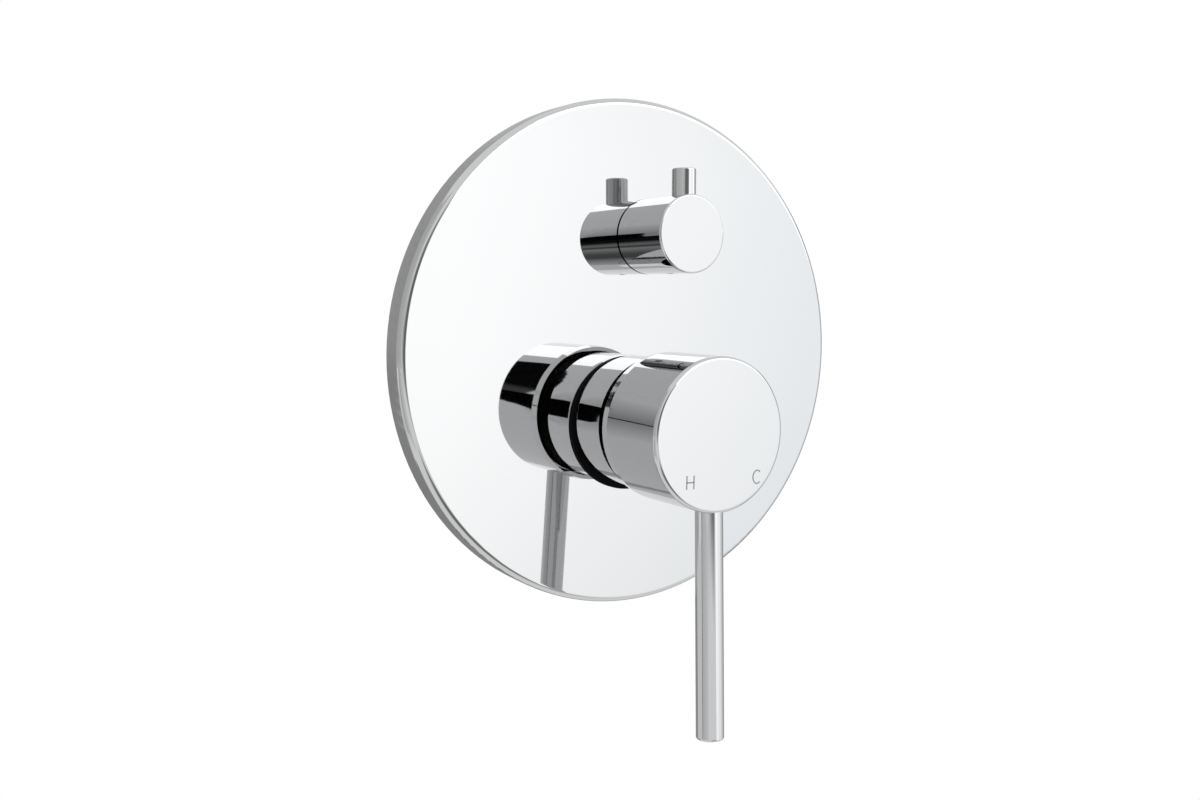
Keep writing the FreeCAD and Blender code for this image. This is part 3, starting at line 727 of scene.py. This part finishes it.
# %% Cards for the reflections
def colour_run(board, axis, low, high, colours):
    """Evenly spaced colours along one axis of the frame."""
    along = axes(board, place_on_piece(board))["XYZ".index(axis)]
    share = board.node("ShaderNodeMapRange", Value=along, from_min=low, from_max=high)
    stops = [(i / (len(colours) - 1), c) for i, c in enumerate(colours)]
    return board.node("ShaderNodeValToRGB", {"stops": stops}, Fac=share)


def greys(*levels):
    return [(level, level, level) for level in levels]


def blend(board, share, first, second):
    """The first shader where the share is 0, the second where it is 1."""
    mixed = board.node("ShaderNodeMixShader", Fac=share)
    for place, shader in ((1, first), (2, second)):
        board.tree.links.new(shader.socket, mixed.socket.node.inputs[place])
    return mixed


def mirrors_met(board):
    return board.node("ShaderNodeLightPath", output="Glossy Depth")


def after_one_mirror(board):
    return mirrors_met(board) < 1.5


def after_two_mirrors(board):
    return mirrors_met(board) > 1.5


def card(name, corners, colour, level_run=None, shown=None):
    """A flat card that only reflections see; its colour is one grey level or a run of colours."""
    material = bpy.data.materials.new(name)
    material.use_nodes = True
    tree = material.node_tree
    tree.nodes.clear()
    board = Wire(tree)
    glow = colour_run(board, *colour) if isinstance(colour, tuple) else (colour, colour, colour, 1.0)
    strength = colour_run(board, *level_run) if level_run else 1.0
    surface = board.node("ShaderNodeEmission", Color=glow, Strength=strength)
    if shown:
        surface = blend(board, shown(board), board.node("ShaderNodeBsdfTransparent"), surface)
    result = tree.nodes.new("ShaderNodeOutputMaterial")
    tree.links.new(surface.socket, result.inputs["Surface"])
    mesh = bpy.data.meshes.new(name)
    mesh.from_pydata(corners, [], [range(len(corners))])
    mesh.materials.append(material)
    made = bpy.data.objects.new(name, mesh)
    bpy.context.scene.collection.objects.link(made)
    for kind in ("camera", "diffuse", "shadow", "transmission"):
        setattr(made, "visible_" + kind, False)


print("cards can be made")

# %% [markdown]
# ## The soft panel and the high lamp
# A large soft panel stands in front on the right and fills the plate with a white that cools
# towards its far end. Above it a brighter lamp gives the light upper edges. Their slanting lower
# and left outlines are what the round pieces bend into highlights.

# %% Panel and lamp
panel_y = -0.75
lamp_y = panel_y + 0.01
lamp_level = 2.7
panel_outline = [(0.33, -0.6), (1.6, -0.6), (1.6, 0.4), (0.09, 0.4)]
panel_colours = [(1.76, 1.755, 1.75), (1.6, 1.61, 1.61), (1.43, 1.47, 1.5)]
panel_levels = [(0.86, 0.876, 0.89), (0.905, 0.913, 0.92), *greys(0.95, 0.98, 0.99, 1.0, 0.98)]
lamp_outline = [
    (0.03, 0.27), (0.15, 0.17), (0.27, 0.25), (0.40, 0.33), (1.6, 0.33), (1.6, 0.95), (0.03, 0.95),
]
card(
    "soft panel", [(x, panel_y, z) for x, z in panel_outline],
    ("X", 0.26, 0.74, panel_colours), level_run=("Z", -0.33, 0.33, panel_levels),
)
card("high lamp", [(x, lamp_y, z) for x, z in lamp_outline], lamp_level)
print("panel and lamp placed")

# %% [markdown]
# ## Dark flags
# In the plate's image of the handle and the knob, dark bands cross the chrome. They are light
# that has met two mirrors, so dark flags where the viewer stands, and a streaked shelf below the
# knob, show only after two. The plate itself stays clean, and so do the other sides.

# %% Flags and shelf
BLACK_FELT = 0.002
DARK_CLOTH = ("Z", 0.03, 0.09, greys(0.09, 0.09, 0.005, 0.005))


def viewer_card(name, outline, colour):
    """A card in the plane of the camera, drawn in millimetres to the right of it and above it."""
    corners = [viewpoint + (right * across + upward * up) * MM for across, up in outline]
    card(name, corners, colour, shown=after_two_mirrors)


def from_above(board):
    """Seen only from above, and only after two mirrors."""
    underside = board.node("ShaderNodeNewGeometry", output="Backfacing")
    return after_two_mirrors(board) * (1.0 - underside)


def lying(x_low, x_high, y_low, y_high, z):
    """Corners of a level rectangle that faces up."""
    return [(x_low, y_low, z), (x_high, y_low, z), (x_high, y_high, z), (x_low, y_high, z)]


block_outline = [
    (-20, -50), (-12, -62), (14, -62), (23, -42), (31, -31), (40, -25), (60, 0), (60, 30),
    (40, 34), (16, 46), (-18, 46),
]
strip_outline = [(-72, -11), (-20, -11), (-20, -5), (-72, -5)]
wing_outline = [
    (42, 45), (46, 66), (54, 86), (68, 110), (85, 133), (105, 152), (130, 172), (159, 188),
    (195, 202), (210, 190), (207, 150), (150, 118), (110, 72), (95, 40), (75, 20), (60, 0),
    (60, 30), (40, 34),
]
viewer_card("black block", block_outline, BLACK_FELT)
viewer_card("thin black strip", strip_outline, BLACK_FELT)
viewer_card("dark wing", wing_outline, DARK_CLOTH)

shelf_z = -0.012
shelf_streaks = greys(
    0.01, 0.01, 0.01, 0.05, 0.15, 0.25, 0.28, 0.06, 0.42, 0.28, 0.14, 0.12, 0.45, 0.7
)
card(
    "streaked shelf", lying(-0.3, 0.0, -0.45, -0.07, shelf_z),
    ("X", -0.156, 0.0, shelf_streaks), shown=from_above,
)
print("flags and shelf placed")

# %% [markdown]
# ## The dim room
# The rest of the room is dimmer than the backdrop, and shows as greys in the sides of the round
# pieces and along the plate's rim. What stands in front, on the right and behind the plate, and
# the ground, show only after one mirror, because in double images they would cover the light
# bands. The front and the ground before it fade out to all sides, so no hard edge is mirrored.


# %% Front, walls and ground
def standing(x_low, x_high, z_low, z_high, y):
    """Corners of an upright rectangle across the room."""
    return [(x_low, y, z_low), (x_high, y, z_low), (x_high, y, z_high), (x_low, y, z_high)]


def fading(*runs):
    """Shown after one mirror, and fading along each run."""

    def shown(board):
        share = after_one_mirror(board)
        for run in runs:
            share = share * colour_run(board, *run)
        return share

    return shown


def screen(name, angles, heights, colour, shown=None):
    """A card beside the object; angles in degrees, 0 in front and growing to the left."""
    (x_from, y_from), (x_to, y_to) = [
        (-screen_reach * math.sin(a), -screen_reach * math.cos(a)) for a in map(math.radians, angles)
    ]
    low, high = heights
    corners = [(x_from, y_from, low), (x_to, y_to, low), (x_to, y_to, high), (x_from, y_from, high)]
    card(name, corners, colour, shown=shown)


screen_reach = 0.9
ground_z = -0.6
front_x, front_z = (-0.44, 0.17), (-0.18, 0.34)
front_fade_x = greys(0.0, 1.0, 1.0, 1.0, 1.0, 0.0)
front_fade_z = greys(0.0, 1.0, 1.0, 1.0, 0.8, 0.0)
card(
    "dim room in front", standing(*front_x, *front_z, panel_y), 0.2,
    shown=fading(("X", *front_x, front_fade_x), ("Z", *front_z, front_fade_z)),
)
card(
    "dim room behind the viewer", standing(-0.65, -0.40, -0.25, 0.25, panel_y),
    ("Z", -0.25, 0.25, greys(0.95, 0.7, 0.45, 0.7, 0.95)),
)

low_left, high_left, whole_right = (ground_z, -0.18), (-0.17, 0.8), (ground_z, 0.4)
screen("left wall", (42, 86), low_left, ("Y", -0.67, -0.06, greys(0.86, 0.66)))
screen("left edge", (88, 95), low_left, 0.25)
screen("left corner", (97, 150), (ground_z, -0.28), 0.85)
screen("high left wall", (45, 92), high_left, ("Y", -0.64, 0.03, greys(0.72, 0.62)))
screen("high left corner", (92, 140), high_left, 0.62)
screen("right wall", (-80, -95), whole_right, 0.7, after_one_mirror)
screen("dim room on the right", (-97, -150), whole_right, 0.35, after_one_mirror)

ground_x, ground_y = (-0.45, 0.5), (-1.7, -0.35)
ground_fade = greys(0.0, 1.0, 1.0, 1.0, 0.0)
card(
    "dim ground in front", lying(*ground_x, *ground_y, ground_z), 0.2,
    shown=fading(("X", *ground_x, ground_fade), ("Y", *ground_y, ground_fade)),
)
back_x, back_y, back_level = (-0.6, 0.8), 0.9, 0.38
card(
    "dim ground behind", lying(*back_x, 0.3, 1.4, ground_z), back_level, shown=after_one_mirror
)
card(
    "low back wall", standing(*back_x, ground_z, -0.1, back_y - 0.02), back_level,
    shown=after_one_mirror,
)
card("high back wall", standing(0.1, 0.8, -0.1, 1.4, back_y), 0.75, shown=after_one_mirror)
card("back wall", standing(-1.2, 0.1, ground_z, 1.2, back_y), ("X", -1.2, 0.1, greys(0.45, 0.6)))
print("dim room placed")

# %% [markdown]
# ## The floor
# The floor is a pale matt plane well below the object. To the camera, to mirrors and through
# glass it is plain white, by way of Light Path, so that it runs into the backdrop.


# %% Floor
def seen_directly(board):
    """1 for rays that come from the camera, a mirror or a glass, 0 for soft light."""
    path = board.node("ShaderNodeLightPath")
    names = ("Is Camera Ray", "Is Glossy Ray", "Is Transmission Ray")
    by_camera, by_mirror, by_glass = [Wire(board.tree, path.socket.node.outputs[n]) for n in names]
    return by_camera | by_mirror | by_glass


WHITE = (1.0, 1.0, 1.0, 1.0)
PALE = (0.85, 0.85, 0.85, 1.0)
floor_z = -0.62
floor_reach = 12.0
floor_corners = lying(-floor_reach, floor_reach, -floor_reach, floor_reach, floor_z)
floor_mesh = bpy.data.meshes.new("floor")
floor_mesh.from_pydata(floor_corners, [], [range(len(floor_corners))])
floor = bpy.data.objects.new("floor", floor_mesh)
floor_finish, floor_shader, board = new_finish("pale floor", Base_Color=PALE, Roughness=0.9)
plain_white = board.node("ShaderNodeEmission", Color=WHITE, Strength=1.0)
matt = Wire(floor_finish.node_tree, floor_shader.outputs[0])
surface = blend(board, seen_directly(board), matt, plain_white)
board.feed(floor_finish.node_tree.nodes["Material Output"].inputs["Surface"], surface)
floor_mesh.materials.append(floor_finish)
bpy.context.scene.collection.objects.link(floor)
print("floor made")

# %% [markdown]
# ## Backdrop and light
# The world is white to the camera and to reflections in the same way. For dull surfaces it is a
# soft even light, and one large lamp from the upper right gives them a lit side.

# %% World and lamp
soft_level = 0.75
lamp_side = 1.2

world = bpy.data.worlds.new("white studio")
bpy.context.scene.world = world
world.use_nodes = True
board = Wire(world.node_tree)
background = world.node_tree.nodes["Background"]
background.inputs["Color"].default_value = WHITE
board.feed(background.inputs["Strength"], soft_level + seen_directly(board) * (1.0 - soft_level))

lamp_data = bpy.data.lights.new("large soft lamp", "AREA")
lamp_data.shape = "RECTANGLE"
lamp_data.size = lamp_side
lamp_data.size_y = lamp_side
lamp_data.energy = 9.0
lamp = bpy.data.objects.new("large soft lamp", lamp_data)
lamp.location = (0.9, -1.1, 1.2)
lamp.rotation_euler = (-lamp.location).to_track_quat("-Z", "Y").to_euler()
lamp.visible_glossy = False
bpy.context.scene.collection.objects.link(lamp)
bpy.context.scene.view_settings.view_transform = "Standard"
print("world and lamp made")
